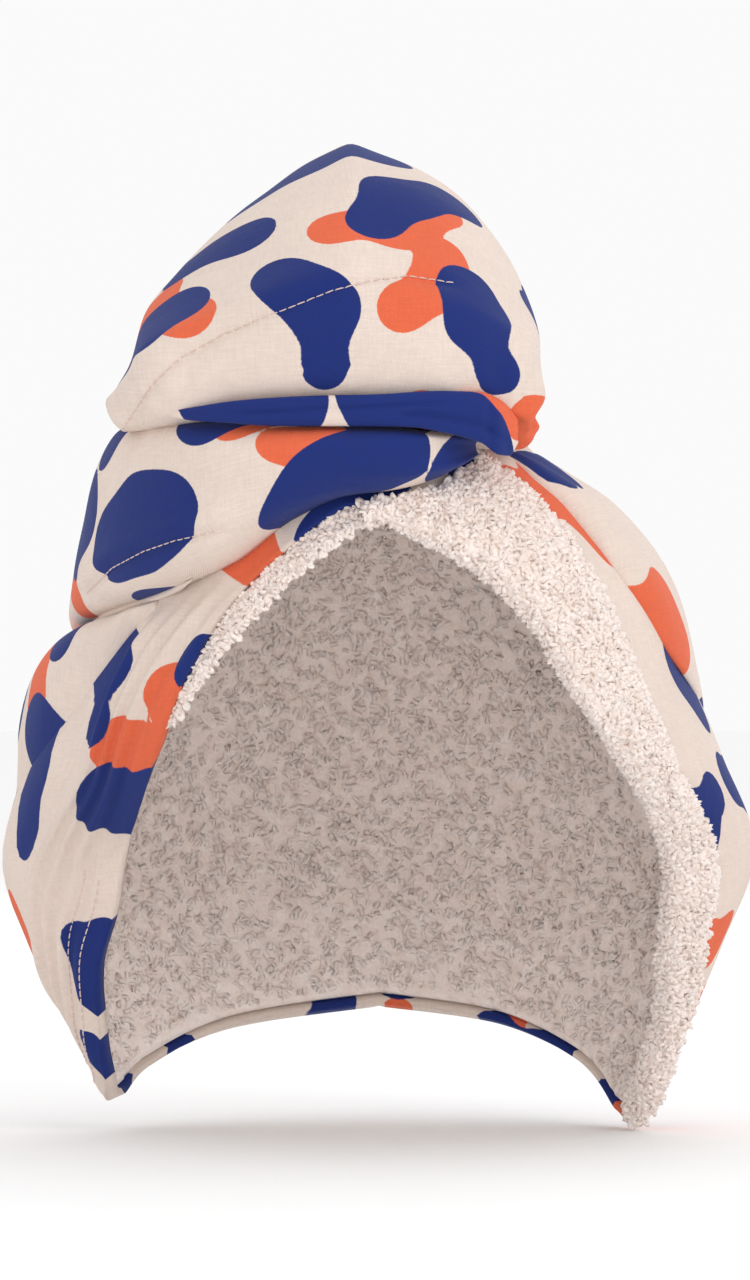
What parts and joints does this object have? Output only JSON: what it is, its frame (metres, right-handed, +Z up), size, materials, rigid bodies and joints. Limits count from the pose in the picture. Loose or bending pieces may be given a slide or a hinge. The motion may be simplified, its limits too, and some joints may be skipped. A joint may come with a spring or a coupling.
{
  "type": "hair turban towel",
  "caption": "Terry-lined hair turban towel in its worn form: a printed hood folded over the forehead, its twisted tail laid back over the crown and buttoned at the nape.",
  "frame": {"origin": "where the crown of the head meets the lining, at the mouth of the tail", "axes": "+X to the wearer's left, +Y to the back of the head, +Z up; the face opening looks towards -Y"},
  "size_m": [0.217, 0.2492, 0.2863],
  "materials": {
    "printed_cloth": "smooth woven cotton, cream ground with a print of navy and coral shapes",
    "terry": "looped terry, cream with a pink tinge",
    "elastic": "braided elastic cord",
    "button": "satin moulded resin"
  },
  "bodies": {
    "root": {"hood": "printed_cloth", "terry_lining": "terry", "terry_cuff": "terry", "shoulder_fold": "printed_cloth", "side_fold": "printed_cloth", "front_wrap": "printed_cloth", "twist_tuck": "printed_cloth", "twisted_tail": "printed_cloth", "elastic_loop": "elastic", "button": "button"}
  },
  "joints": []
}
